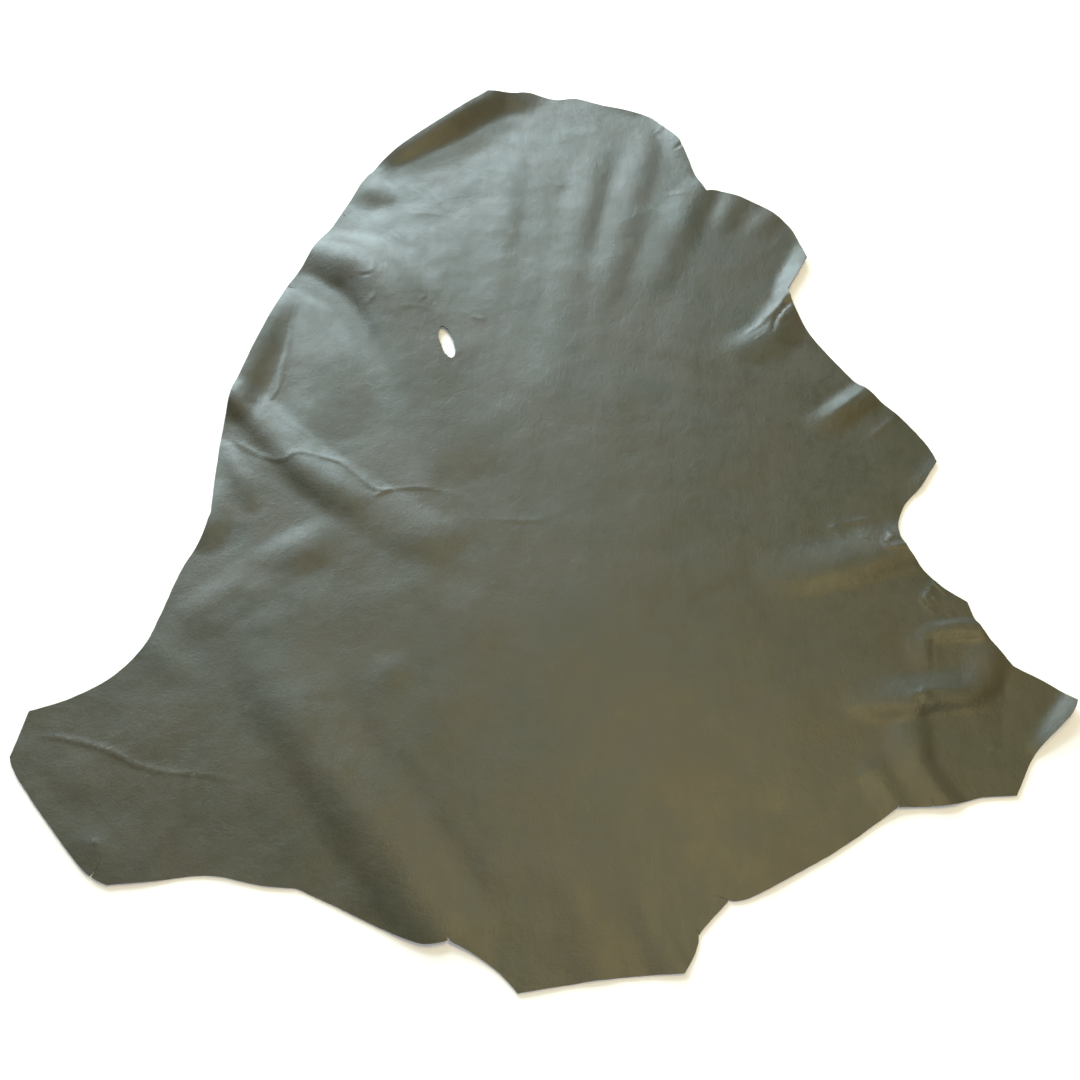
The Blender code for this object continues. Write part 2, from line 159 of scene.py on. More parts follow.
# Low swellings and hollows between the folds
SWELLS = {
    "rump hem": [
        Station(-176, 402, 1, 18, 36), Station(-150, 424, 3, 22, 50), Station(-114, 454, 3.8, 24, 54),
        Station(-78, 486, 3, 22, 52), Station(-48, 508, 0, 16, 40)],
    "shoulder side": [
        Station(-312, -14, 1.4, 8, 14), Station(-299, -40, 2.8, 9, 16), Station(-287, -66, 2.2, 10, 18),
        Station(-278, -94, 0, 10, 16)],
    "shoulder face": [
        Station(-278, -19, 0, 20, 18), Station(-250, -40, 2, 26, 20), Station(-221, -61, 2.4, 28, 22),
        Station(-195, -78, 1.6, 26, 24), Station(-172, -93, 0, 22, 22)],
    "foreleg bar": [
        Station(321, -226, 0, 12, 12), Station(339, -221, 2, 14, 13), Station(358, -219, 3, 14, 13),
        Station(378, -220, 3.8, 14, 13)],
    "foreleg panel": [
        Station(262, -339, 0, 26, 16), Station(267, -351, 1.2, 30, 18), Station(273, -367, 1.8, 30, 18),
        Station(281, -387, 1.5, 28, 18)],
    "elbow rib": [
        Station(332, -221, 0, 12, 20), Station(329, -242, 1.5, 13, 22), Station(330, -262, 0, 12, 20)],
    "haunch streak one": [
        Station(218, 363, 0.4, 18, 18), Station(200, 316, 1.2, 20, 18), Station(184, 273, 0, 18, 18)],
    "haunch streak two": [
        Station(261, 328, 0.8, 18, 18), Station(239, 300, 1.2, 20, 18), Station(221, 273, 0, 18, 18)],
    "haunch spot": [
        Station(-178, 317, 0, 20, 20), Station(-151, 313, 0.78, 20, 20), Station(-129, 314, 0, 20, 20)],
    "back spot": [
        Station(-123, 327, 0, 20, 20), Station(-87, 336, -0.48, 22, 22), Station(-69, 327, 0, 20, 20)],
    "chest spot": [
        Station(-160, -261, 0, 20, 26), Station(-137, -259, 1.2, 22, 30), Station(-119, -247, 0, 20, 26)],
    "neck streak one": [
        Station(7, -421, 0, 16, 20), Station(22, -477, 0.7, 18, 24), Station(36, -526, 0.9, 18, 24)],
    "neck streak two": [
        Station(56, -421, 0, 14, 20), Station(76, -473, 0.8, 14, 24), Station(98, -519, 1, 14, 24)],
    "left foreleg patch": [
        Station(-418, -339, 0, 20, 20), Station(-394, -358, 0.9, 22, 24), Station(-392, -378, 0, 20, 20)],
    "left foreleg end": [
        Station(-384, -411, 0, 18, 18), Station(-368, -418, 0.9, 20, 20),
        Station(-355, -427, 0.5, 18, 18)],
    "armpit patch": [
        Station(-360, -229, 0.5, 20, 20), Station(-334, -251, 0.9, 22, 22),
        Station(-313, -276, 0, 20, 20)],
    "chest trough": [
        Station(-201, -145, 0, 24, 24), Station(-216, -158, -0.7, 26, 26),
        Station(-234, -177, 0, 24, 24)],
    "flank shade": [
        Station(145, -42, 0, 40, 40), Station(199, -78, -0.5, 44, 44), Station(266, -66, 0, 40, 40)],
    "middle spot": [
        Station(-119, -145, 0, 26, 26), Station(-88, -172, -0.6, 30, 30), Station(-63, -188, 0, 26, 26)],
    "rump end": [
        Station(63, 515, 0, 14, 18), Station(91, 504, 1.6, 16, 20), Station(117, 489, 0, 14, 18)],
    "haunch back": [
        Station(-210, 296, 0.8, 34, 34), Station(-180, 278, 2.6, 52, 44),
        Station(-152, 250, 3.2, 58, 44), Station(-128, 212, 3.2, 58, 44),
        Station(-106, 166, 2.2, 54, 42), Station(-88, 112, 1, 50, 40), Station(-74, 60, 0, 44, 38)],
    "haunch crest": [
        Station(-252, 259, 0, 30, 30), Station(-219, 241, 3, 36, 38), Station(-192, 219, 3.6, 38, 40),
        Station(-170, 190, 3.4, 40, 42), Station(-153, 152, 2.8, 40, 42),
        Station(-134, 104, 1.8, 40, 42), Station(-108, 45, 0, 36, 38)],
    "shoulder bump hollow": [
        Station(-324, -208, 0, 20, 24), Station(-300, -188, -1.5, 26, 30),
        Station(-280, -170, -1.2, 24, 30), Station(-243, -137, -1.2, 24, 30),
        Station(-204, -113, -0.6, 22, 26), Station(-184, -99, 0, 18, 22)],
    "haunch foot": [
        Station(-270, 228, 0, 18, 22), Station(-250, 204, -2.2, 22, 24),
        Station(-224, 181, -2.6, 22, 24), Station(-205, 152, -2.4, 22, 26),
        Station(-187, 118, -1.8, 22, 26), Station(-166, 72, -1, 22, 26), Station(-146, 30, 0, 20, 24)],
    "knuckle side": [
        Station(-225, 373, 0, 14, 16), Station(-208, 346, 2.4, 18, 18), Station(-194, 320, 0, 14, 16)],
    "shoulder start": [
        Station(-320, 52, 1.6, 20, 42), Station(-300, 28, 1.6, 20, 38), Station(-282, 8, 0.6, 20, 34),
        Station(-264, -10, 0, 18, 30)],
    "shoulder tail hollow": [
        Station(-229, -39, 0, 24, 28), Station(-193, -67, -1.2, 26, 30),
        Station(-139, -101, -1.4, 26, 30), Station(-101, -125, 0, 24, 28)],
    "left foreleg hollow": [
        Station(-429, -320, -0.3, 30, 26), Station(-376, -332, -0.8, 34, 30),
        Station(-318, -352, -0.7, 34, 30), Station(-247, -363, 0, 30, 30)],
    "ridge crest": [
        Station(-268, -228, 0, 30, 32), Station(-225, -294, 1.3, 30, 34),
        Station(-193, -340, 1.6, 30, 34), Station(-163, -384, 1.6, 30, 34),
        Station(-134, -422, 1.6, 30, 34), Station(-109, -459, 1.5, 30, 34),
        Station(-90, -486, 1, 28, 32)],
    "ridge trough": [
        Station(-215, -240, 0, 20, 20), Station(-189, -270, -0.6, 24, 22),
        Station(-159, -316, -0.9, 24, 22), Station(-129, -360, -0.9, 24, 22),
        Station(-100, -398, -0.9, 24, 22), Station(-75, -435, -0.8, 24, 22),
        Station(-58, -464, -0.4, 22, 20)],
}

# Creases with a sharp crest
CREASES = {
    "shoulder crease": [
        Station(-310, -5, 0.31, 7, 4), Station(-290, -19, 0.62, 8, 4), Station(-269, -30, 0.7, 8, 5),
        Station(-255, -33, 0.47, 7, 4), Station(-248, -27, 0.78, 7, 5), Station(-241, -24, 0.47, 7, 4),
        Station(-219, -28, 0.7, 8, 5), Station(-201, -34, 0.78, 8, 5), Station(-185, -48, 0.55, 8, 4),
        Station(-174, -59, 0.47, 7, 4), Station(-162, -66, 0.7, 7, 5), Station(-146, -65, 0.39, 6, 4),
        Station(-123, -63, 0.47, 6, 4), Station(-94, -69, 0, 5, 4)],
    "shoulder branch": [
        Station(-168, -75, 0, 5, 5), Station(-158, -69, 0.8, 6, 5), Station(-148, -64, 0, 5, 5)],
    "shoulder upper line": [
        Station(-308, 48, 0, 12, 10), Station(-285, 42, 0.4, 14, 12), Station(-262, 19, 0.4, 14, 12),
        Station(-239, 3, 0.5, 14, 12), Station(-221, -14, 0, 12, 10)],
    "shoulder tail": [
        Station(-58, -98, 0, 7, 6), Station(-32, -101, 0.4, 8, 6), Station(2, -100, 0, 7, 6)],
    "belly line": [
        Station(-265, 165, 0, 6, 6), Station(-267, 132, 0.45, 7, 6), Station(-270, 98, 0.6, 7, 6),
        Station(-273, 58, 0.6, 7, 6), Station(-283, 42, 0, 6, 6)],
    "haunch slit": [
        Station(-205, 211, 0, 4, 4), Station(-195, 207, -0.48, 4, 4), Station(-185, 209, 0, 4, 4)],
    "haunch hook one": [
        Station(-194, 206, 0, 5, 5), Station(-186, 217, 0.36, 6, 5), Station(-189, 233, 0, 5, 5)],
    "haunch hook two": [
        Station(-196, 171, 0, 5, 5), Station(-186, 176, 0.36, 6, 5), Station(-180, 188, 0, 5, 5)],
    "hole pucker": [
        Station(-159, 157, 0, 6, 6), Station(-145, 166, 0.25, 7, 6), Station(-126, 165, 0.3, 7, 6),
        Station(-111, 154, 0, 6, 6)],
    "hole tick": [
        Station(-84, 158, 0, 4, 4), Station(-74, 156, 0.4, 5, 4), Station(-65, 155, 0, 4, 4)],
    "haunch line one": [
        Station(-140, 359, 0, 5, 5), Station(-125, 337, 0.35, 6, 5), Station(-107, 311, 0, 5, 5)],
    "haunch line two": [
        Station(-164, 314, 0, 6, 6), Station(-131, 314, 0.2, 7, 7), Station(-98, 308, 0, 6, 6)],
    "left foreleg crease": [
        Station(-430, -320, 0.14, 6, 5), Station(-411, -323, 0.5, 7, 5), Station(-394, -327, 0.58, 7, 5),
        Station(-376, -332, 0.58, 7, 5), Station(-361, -338, 0.65, 7, 5),
        Station(-347, -346, 0.58, 7, 5), Station(-331, -351, 0.5, 7, 5), Station(-317, -354, 0.43, 6, 5),
        Station(-289, -356, 0.36, 6, 5), Station(-264, -360, 0.22, 6, 5), Station(-245, -363, 0, 5, 5)],
    "left foreleg tick": [
        Station(-370, -413, 0, 4, 4), Station(-364, -415, 0.5, 5, 4), Station(-360, -418, 0, 4, 4)],
    "rump scratch one": [
        Station(43, 481, 0, 4, 4), Station(52, 471, 0.6, 5, 4), Station(64, 459, 0, 4, 4)],
    "rump scratch two": [
        Station(48, 488, 0, 4, 4), Station(56, 478, 0.5, 5, 4), Station(65, 468, 0, 4, 4)],
    "rump arc": [
        Station(-9, 391, 0, 6, 5), Station(5, 363, 0.35, 7, 6), Station(30, 360, 0, 6, 5)],
    "tail arc": [
        Station(128, 344, 0, 5, 5), Station(146, 346, 0.4, 6, 5), Station(155, 344, 0, 5, 5)],
    "tail slit": [
        Station(144, 418, 0, 4, 4), Station(152, 424, -0.9, 5, 4), Station(160, 431, 0, 4, 4)],
    "tail line": [
        Station(122, 446, 0, 5, 5), Station(134, 460, 0.6, 6, 5), Station(142, 472, 0, 5, 5)],
    "rump tick": [
        Station(161, 292, 0, 4, 4), Station(163, 276, 0.3, 4, 4), Station(162, 257, 0, 4, 4)],
    "flank line one": [
        Station(200, 129, 0, 6, 6), Station(218, 145, 0.6, 8, 7), Station(234, 164, 0.9, 8, 7),
        Station(248, 182, 0.6, 7, 6)],
    "flank line two": [
        Station(224, 148, 0, 5, 5), Station(234, 163, 0.5, 5, 5), Station(244, 176, 0.5, 5, 5),
        Station(252, 187, 0, 5, 5)],
    "flank furrow": [
        Station(230, 134, -0.3, 4, 4), Station(234, 146, -1.2, 5, 4), Station(239, 157, -1.5, 5, 4),
        Station(247, 168, -1.5, 5, 4), Station(256, 180, -1.2, 5, 4)],
    "belly line one": [
        Station(264, 15, 0, 7, 6), Station(284, 29, 0.45, 9, 7), Station(301, 43, 0.55, 9, 7),
        Station(315, 58, 0.45, 8, 7)],
    "belly line two": [
        Station(304, -10, 0, 8, 7), Station(320, 4, 0.6, 9, 8), Station(338, 21, 0.5, 9, 8),
        Station(350, 35, 0, 8, 7)],
    "elbow line one": [
        Station(304, -135, 0, 6, 5), Station(313, -134, 1.3, 8, 5), Station(329, -132, 1.8, 9, 6)],
    "elbow line two": [
        Station(256, -118, 0, 5, 5), Station(264, -107, 0.5, 6, 5), Station(273, -101, 0, 5, 5)],
    "elbow line three": [
        Station(266, -107, 0, 5, 5), Station(282, -103, 0.7, 7, 6), Station(300, -104, 0.5, 7, 6),
        Station(313, -112, 0, 6, 5)],
    "elbow corner": [
        Station(311, -110, 0, 5, 5), Station(314, -120, 0.6, 6, 5), Station(307, -132, 0, 5, 5)],
    "foreleg tick one": [
        Station(331, -192, 0, 5, 5), Station(338, -182, 0.9, 6, 5), Station(349, -168, 0.6, 6, 5)],
    "foreleg tick two": [
        Station(344, -192, 0, 5, 5), Station(358, -188, 0.6, 7, 6), Station(373, -190, 0, 5, 5)],
    "foreleg bar line": [
        Station(340, -216, 0, 5, 5), Station(356, -213, 1, 7, 5), Station(371, -213, 1.4, 8, 6),
        Station(378, -215, 1, 8, 6)],
    "foreleg line": [
        Station(300, -287, 0, 6, 5), Station(312, -283, 0.8, 8, 6), Station(329, -279, 0.8, 8, 6),
        Station(347, -280, 0.5, 7, 6), Station(364, -276, 0, 6, 5)],
    "foreleg tick three": [
        Station(315, -291, 0, 4, 4), Station(319, -286, 0.9, 5, 4), Station(324, -281, 0, 4, 4)],
    "foreleg furrow": [
        Station(338, -223, 0, 6, 6), Station(333, -239, -1, 7, 6), Station(331, -261, 0, 6, 6)],
    "foreleg side furrow": [
        Station(392, -257, 0, 10, 8), Station(389, -278, -0.4, 14, 10), Station(377, -321, -0.3, 14, 10),
        Station(367, -356, 0, 10, 8)],
    "foreleg low line": [
        Station(248, -363, 0, 6, 6), Station(256, -356, 0.6, 7, 6), Station(267, -345, 0, 6, 6)],
    "foreleg mark": [
        Station(363, -334, 0, 4, 4), Station(369, -331, 0.7, 5, 4), Station(376, -327, 0, 4, 4)],
    "foreleg nick line": [
        Station(299, -350, 0, 4, 4), Station(304, -346, 0.5, 5, 4), Station(308, -342, 0, 4, 4)],
}

# Patches of fine wrinkles: the middle, the direction in degrees, how long and how wide the patch
# is, how many wrinkles it has and their lift
Patch = namedtuple("Patch", "x y direction long wide count lift")
WRINKLES = {
    "haunch": Patch(-171, 273, -50, 24, 30, 4, 0.30),
    "haunch top": Patch(-144, 357, -38, 22, 20, 3, 0.25),
    "flank": Patch(237, 157, 52, 34, 20, 6, 0.65),
    "flank low": Patch(214, 133, 40, 26, 18, 3, 0.35),
    "belly": Patch(312, 36, 40, 34, 26, 4, 0.25),
    "elbow near": Patch(268, -110, -30, 22, 22, 4, 0.70),
    "elbow middle": Patch(294, -113, -12, 30, 24, 6, 0.70),
    "elbow end": Patch(313, -124, -60, 16, 20, 4, 0.70),
    "elbow side": Patch(343, -184, -56, 26, 26, 6, 0.65),
    "foreleg side": Patch(358, -199, -40, 14, 16, 3, 0.40),
    "foreleg": Patch(320, -287, 30, 18, 20, 5, 0.60),
    "foreleg bar": Patch(322, -230, 70, 20, 16, 3, 0.35),
    "hole": Patch(-126, 176, 60, 14, 22, 3, 0.30),
    "shoulder": Patch(-188, 62, -40, 20, 18, 3, 0.20),
    "belly side": Patch(-272, 64, 80, 34, 18, 3, 0.35),
}
WRINKLE_REACH = 3.6          # to either side of a wrinkle's crest
WRINKLE_HALF = 0.42          # half a wrinkle's length, as a share of its patch
WRINKLE_VARY = 0.25          # and how much that differs
WRINKLE_SLIDE = 0.35         # how far a wrinkle slides along its patch, as a share of its length
WRINKLE_SHIFT = 0.12         # and across it, as a share of its width
WRINKLE_BOW = 0.10           # how far its middle bows, as a share of the patch's length
WRINKLE_LIFTS = 0.6          # how much the lifts differ

# Nicks that are cut into the edge: the mouth, the end inside the hide, and the width
Nick = namedtuple("Nick", "x y end_x end_y width")
NICKS = [
    Nick(-362, -440, -357, -430, 1.6),
    Nick(-277, 203, -268, 199, 1.2),
    Nick(-79, -492, -80, -489, 2.0),
    Nick(282, -386, 284, -381, 1.3),
    Nick(309, -384, 309, -379, 1.1),
    Nick(138, -460, 128, -457, 1.2),
    Nick(114, -488, 111, -483, 1.0),
    Nick(-228, 313, -223, 309, 1.4),
]

# Unevenness, each a pair of height and spacing in millimetres
SLACK = [(0.85, 130.0), (0.60, 58.0), (0.38, 31.0), (0.15, 15.0), (0.045, 8.0)]
SLACK_LEFT = 1.3             # the slack is this many times as strong at the left side
SLACK_RIGHT = 0.6            # and as strong at the right
EDGE_RAGGED = [(0.35, 26.0), (0.22, 7.0)]
HOLE_RAGGED = [(0.60, 9.0), (0.55, 3.0), (0.45, 1.5)]

# Colours of the leather, as linear red, green, blue and alpha
BROWN_OLIVE = (0.036, 0.030, 0.0125, 1)
GREEN_OLIVE = (0.0275, 0.0295, 0.015, 1)
PALE_OLIVE = (0.038, 0.035, 0.017, 1)
WARM_OLIVE = (0.044, 0.037, 0.016, 1)
DUSTY_OLIVE = (0.050, 0.045, 0.023, 1)
PORE_BROWN = (0.018, 0.015, 0.007, 1)
SPECK_WHITE = (0.42, 0.40, 0.32, 1)
FLESH_DARK = (0.105, 0.088, 0.048, 1)
FLESH_LIGHT = (0.160, 0.138, 0.085, 1)
FLESH_FIBRE = (0.235, 0.205, 0.135, 1)
EDGE_DYED = (0.085, 0.072, 0.040, 1)
EDGE_RAW = (0.26, 0.235, 0.17, 1)

# The floor and the light of the room, in metres and watts
FLOOR_HALF = 6.0             # half the width of the floor
FLOOR_DROP = 0.0004          # how far it lies under the hide
FLOOR_PAINT = (0.93, 0.94, 0.96, 1)
ROOM_LIGHT = (1.0, 0.93, 0.82, 1)
ROOM_STRENGTH = 0.15

# Soft lights: the place, the spot that it faces, the width and height, the power and the colour
Softbox = namedtuple("Softbox", "place target size power colour")
SOFTBOXES = {
    "window": Softbox((-1.35, 3.2, 1.6), (-0.2, 0.2, 0), (3.6, 2.6), 312, (0.745, 0.935, 1.0)),
    "side window": Softbox((2.0, 2.8, 1.2), (0.3, 0.1, 0), (1.4, 1.6), 8, (0.80, 0.94, 1.0)),
    "left wall": Softbox((-1.3, 0.8, 2.8), (-0.3, -0.2, 0), (1.3, 1.0), 4.5, (1.0, 0.97, 0.86)),
    "right wall": Softbox((2.2, 0.9, 1.6), (0.3, -0.2, 0), (1.6, 1.4), 6, (1.0, 0.74, 0.30)),
    "ceiling": Softbox((0.8, 0.2, 3.0), (0.2, -0.3, 0), (2.2, 0.7), 44, (1.0, 0.81, 0.38)),
    "fill": Softbox((0.4, -3.0, 3.2), (0, 0, 0), (3.0, 2.0), 66, (0.93, 0.96, 1.0)),
}

# The camera, in millimetres from the zero of the tables, and in degrees
CAMERA_PLACE = (-9.4, -796.2, 1000.1)
CAMERA_TILT = 34.0
CAMERA_VIEW = 45.0


# Curves

def between(before, start, end, after, share):
    """Point at this share of the way from start to end, on a curve eased by its neighbours."""
    return 0.5 * (2 * start
                  + (end - before) * share
                  + (2 * before - 5 * start + 4 * end - after) * share ** 2
                  + (3 * start - before - 3 * end + after) * share ** 3)


def smooth_run(rows, step):
    """Rows of numbers along one smooth curve, whose first two numbers are its place."""
    knots = [Vector(row) for row in rows]
    knots = [2 * knots[0] - knots[1]] + knots + [2 * knots[-1] - knots[-2]]
    run = [tuple(knots[1])]
    for before, start, end, after in zip(knots, knots[1:], knots[2:], knots[3:]):
        pieces = max(1, ceil(hypot(end[0] - start[0], end[1] - start[1]) / step))
        run += [tuple(between(before, start, end, after, piece / pieces)) for piece in range(1, pieces + 1)]
    return run


def ripple(place, layers, seed):
    """Smooth unevenness at a place, from layers of height and spacing."""
    total = 0.0
    for layer, (height, spacing) in enumerate(layers):
        spot = Vector((place[0] / spacing, place[1] / spacing, seed + 7.3 * layer))
        total += height * noise.noise(spot)
    return total


# Rings: the outline and the flay hole, read off the solid

def edge_loops(node):
    """Loops where the solid's flesh side meets its cut edge, the outline first."""
    shell = bmesh.new()
    shell.from_mesh(node.data)
    bmesh.ops.remove_doubles(shell, verts=shell.verts, dist=SAME_CORNER)
    beside = {}
    for edge in shell.edges:
        leans = sorted(face.normal.z for face in edge.link_faces)
        if len(leans) == 2 and leans[0] < -WALL_LEAN < leans[1]:
            first, second = edge.verts
            beside.setdefault(first, []).append(second)
            beside.setdefault(second, []).append(first)
    loops = []
    while beside:
        corner = next(iter(beside))
        loop = []
        while corner is not None:
            loop.append(Vector((corner.co.x / MM, corner.co.y / MM)))
            onward = beside.pop(corner)
            corner = next((other for other in onward if other in beside), None)
        loops.append(loop)
    shell.free()
    return sorted(loops, key=len, reverse=True)


def is_corner(before, here, after):
    return (here - before).angle(after - here) > CORNER_TURN


def smooth_ring(ring, step):
    """The ring on one smooth curve, with its corners kept."""
    smooth = []
    count = len(ring)
    for i in range(count):
        before, start, end, after = (ring[(i + k) % count] for k in (-1, 0, 1, 2))
        if is_corner(before, start, end):
            before = 2 * start - end
        if is_corner(start, end, after):
            after = 2 * end - start
        pieces = max(1, round((end - start).length / step))
        smooth += [between(before, start, end, after, piece / pieces) for piece in range(pieces)]
    return smooth


def roughen(ring, layers, seed):
    """Move each point of the ring in or out a little."""
    rough = []
    count = len(ring)
    for i, here in enumerate(ring):
        along = (ring[(i + 1) % count] - ring[i - 1]).normalized()
        out = Vector((along.y, -along.x))
        rough.append(here + out * ripple(here, layers, seed))
    return rough


def cut_nicks(ring):
    """Cut each nick into the ring as a narrow notch."""
    for nick in NICKS:
        mouth = from_table(nick.x, nick.y)
        end = from_table(nick.end_x, nick.end_y)
        nearest = min(range(len(ring)), key=lambda i: (ring[i] - mouth).length)
        along = (ring[(nearest + 1) % len(ring)] - ring[nearest - 1]).normalized()
        half = along * nick.width / 2
        ring[nearest:nearest + 1] = [ring[nearest] - half, end, ring[nearest] + half]
    return ring


def from_table(x, y):
    return Vector((x + TABLE_ZERO[0], y + TABLE_ZERO[1]))


# Heights

def crest_of(stations):
    return np.array(smooth_run(stations, CREST_STEP))


def wrinkle_runs():
    """Short crests side by side across each patch, each a little different."""
    runs = []
    for seed, patch in enumerate(WRINKLES.values()):
        turn = radians(patch.direction)
        along = Vector((cos(turn), sin(turn)))
        across = Vector((-sin(turn), cos(turn)))
        for k in range(patch.count):
            chance = [noise.noise(Vector((seed * 3.7, k * 1.9, 11.0 + 5.0 * draw))) for draw in range(4)]
            middle = Vector((patch.x, patch.y))
            middle += across * patch.wide * ((k + 0.5) / patch.count - 0.5 + WRINKLE_SHIFT * chance[0])
            middle += along * patch.long * WRINKLE_SLIDE * chance[1]
            half = along * patch.long * (WRINKLE_HALF + WRINKLE_VARY * chance[2])
            bow = across * patch.long * WRINKLE_BOW * chance[3]
            lift = patch.lift * (1 + WRINKLE_LIFTS * chance[0])
            runs.append(crest_of([
                Station(*(middle - half), 0, WRINKLE_REACH, WRINKLE_REACH),
                Station(*(middle + bow), lift, WRINKLE_REACH, WRINKLE_REACH),
                Station(*(middle + half), 0, WRINKLE_REACH, WRINKLE_REACH)]))
    return runs


def add_run(total, x, y, run, sharp):
    """Add one fold's lift to the total: greatest on the crest, and nothing past its reach."""
    margin = run[:, 3:5].max()
    near = ((x > run[:, 0].min() - margin) & (x < run[:, 0].max() + margin)
            & (y > run[:, 1].min() - margin) & (y < run[:, 1].max() + margin))
    x = x[near]
    y = y[near]
    least = np.full(x.shape, FAR)
    lift = np.zeros(x.shape)
    reach = np.ones(x.shape)
    for start, end in zip(run, run[1:]):
        way = end - start
        share = ((x - start[0]) * way[0] + (y - start[1]) * way[1]) / (way[0] ** 2 + way[1] ** 2)
        share = np.clip(share, 0, 1)
        off_x = x - start[0] - share * way[0]
        off_y = y - start[1] - share * way[1]
        away = np.hypot(off_x, off_y)
        closer = away < least
        on_left = way[0] * off_y - way[1] * off_x > 0
        side_reach = np.where(on_left, start[3] + share * way[3], start[4] + share * way[4])
        least = np.where(closer, away, least)
        lift = np.where(closer, start[2] + share * way[2], lift)
        reach = np.where(closer, side_reach, reach)
    apart = np.clip(least / reach, 0, 1)
    shape = (1 - apart) ** 2 if sharp else (1 - apart ** 2) ** 2
    total[near] += lift * shape


def heights(places, sharp_runs):
    """Height of the flesh side over the floor at each place, in millimetres."""
    x = places[:, 0] - TABLE_ZERO[0]
    y = places[:, 1] - TABLE_ZERO[1]
    folds = np.zeros(len(places))
    for stations in FOLDS.values():
        add_run(folds, x, y, crest_of(stations), sharp=False)
    share = np.clip(0.5 + x / (FLAT_SIZE[0] / MM), 0, 1)
    slack = np.array([ripple(place, SLACK, seed=3.0) for place in places])
    low = REST_LIFT + slack * (SLACK_LEFT + (SLACK_RIGHT - SLACK_LEFT) * share)
    for stations in SWELLS.values():
        add_run(low, x, y, crest_of(stations), sharp=False)
    for run in sharp_runs:
        add_run(low, x, y, run, sharp=True)
    return np.maximum(folds + low, 0.0)


# The sheet

def lattice(step, low, high):
    """Places in rows, each row half a step aside of the last."""
    rows = ceil((high[1] - low[1]) / (step * ROW_SHARE))
    columns = ceil((high[0] - low[0]) / step)
    row, column = np.mgrid[0:rows + 1, 0:columns + 1]
    x = low[0] + (column + 0.5 * (row % 2)) * step
    y = low[1] + row * step * ROW_SHARE
    return np.column_stack([x.ravel(), y.ravel()])


def inside(ring, places):
    """Which of the places lie inside the ring."""
    x = places[:, 0]
    y = places[:, 1]
    crossings = np.zeros(len(places), bool)
    for start, end in zip(ring, ring[1:] + ring[:1]):
        if start.y != end.y:
            crossed = (start.y > y) != (end.y > y)
            crossings ^= crossed & (x < start.x + (y - start.y) * (end.x - start.x) / (end.y - start.y))
    return crossings


def tree_of(places):
    tree = KDTree(len(places))
    for i, place in enumerate(places):
        tree.insert((place[0], place[1], 0), i)
    tree.balance()
    return tree


def gaps(tree, places):
    return np.array([tree.find((x, y, 0))[2] for x, y in places])


def sheet_places(outline, hole, crests):
    """Places inside the sheet: on the crests, close together beside them, and wider elsewhere."""
    ring = np.array([tuple(place) for place in outline + hole])
    rings = tree_of(ring)
    crests = crests[inside(outline, crests) & ~inside(hole, crests)]
    crests = crests[gaps(rings, crests) > CREASE_STEP * CREST_MARGIN]
    creases = tree_of(crests)
    kept = [crests]
    zones = (
        (CREASE_STEP, CREASE_MARGIN * CREASE_STEP, CREASE_REACH),
        (SHEET_STEP, CREASE_REACH, FAR))
    for step, low, high in zones:
        places = lattice(step, ring.min(axis=0), ring.max(axis=0))
        places = places[inside(outline, places) & ~inside(hole, places)]
        away = gaps(creases, places)
        margin = EDGE_MARGIN * min(step, EDGE_STEP * EDGE_SPREAD)
        kept.append(places[(away > low) & (away <= high) & (gaps(rings, places) > margin)])
    return np.concatenate(kept)


def thin_out(crests, step):
    """Crest points without those that crowd one another."""
    kept = []
    cells = {}
    for x, y in crests:
        cell = (int(x // step), int(y // step))
        around = [cells.get((cell[0] + i, cell[1] + j)) for i in (-1, 0, 1) for j in (-1, 0, 1)]
        if all(other is None or hypot(x - other[0], y - other[1]) > step for other in around):
            cells[cell] = (x, y)
            kept.append((x, y))
    return np.array(kept)


def sheet_mesh(outline, hole):
    """The grain side of the hide, as triangles that face up."""
    sharp_runs = [crest_of(stations) for stations in CREASES.values()] + wrinkle_runs()
    crests = np.concatenate([run[:, :2] for run in sharp_runs]) + np.array(TABLE_ZERO)
    inner = sheet_places(outline, hole, thin_out(crests, CREASE_STEP * CREST_CROWD))
    flat = outline + hole + [Vector(place) for place in inner]
    first = len(outline)
    sides = [(i, (i + 1) % first) for i in range(first)]
    sides += [(first + i, first + (i + 1) % len(hole)) for i in range(len(hole))]
    corners, _, triangles, _, _, _ = delaunay_2d_cdt(flat, sides, [], 1, SAME_POINT)
    places = np.array([tuple(corner) for corner in corners])
    triangles = np.array(triangles)
    middles = places[triangles].mean(axis=1)
    triangles = triangles[inside(outline, middles) & ~inside(hole, middles)]
    points = np.column_stack([places, heights(places, sharp_runs) + THICKNESS]) * MM
    mesh = bpy.data.meshes.new("hide sheet")
    mesh.from_pydata(points.tolist(), [], triangles.tolist())
    mesh.update()
    return mesh


def apply_modifiers(piece):
    """Make the piece's modifiers part of its mesh."""
    shown = piece.evaluated_get(bpy.context.evaluated_depsgraph_get())
    mesh = bpy.data.meshes.new_from_object(shown)
    piece.modifiers.clear()
    piece.data = mesh


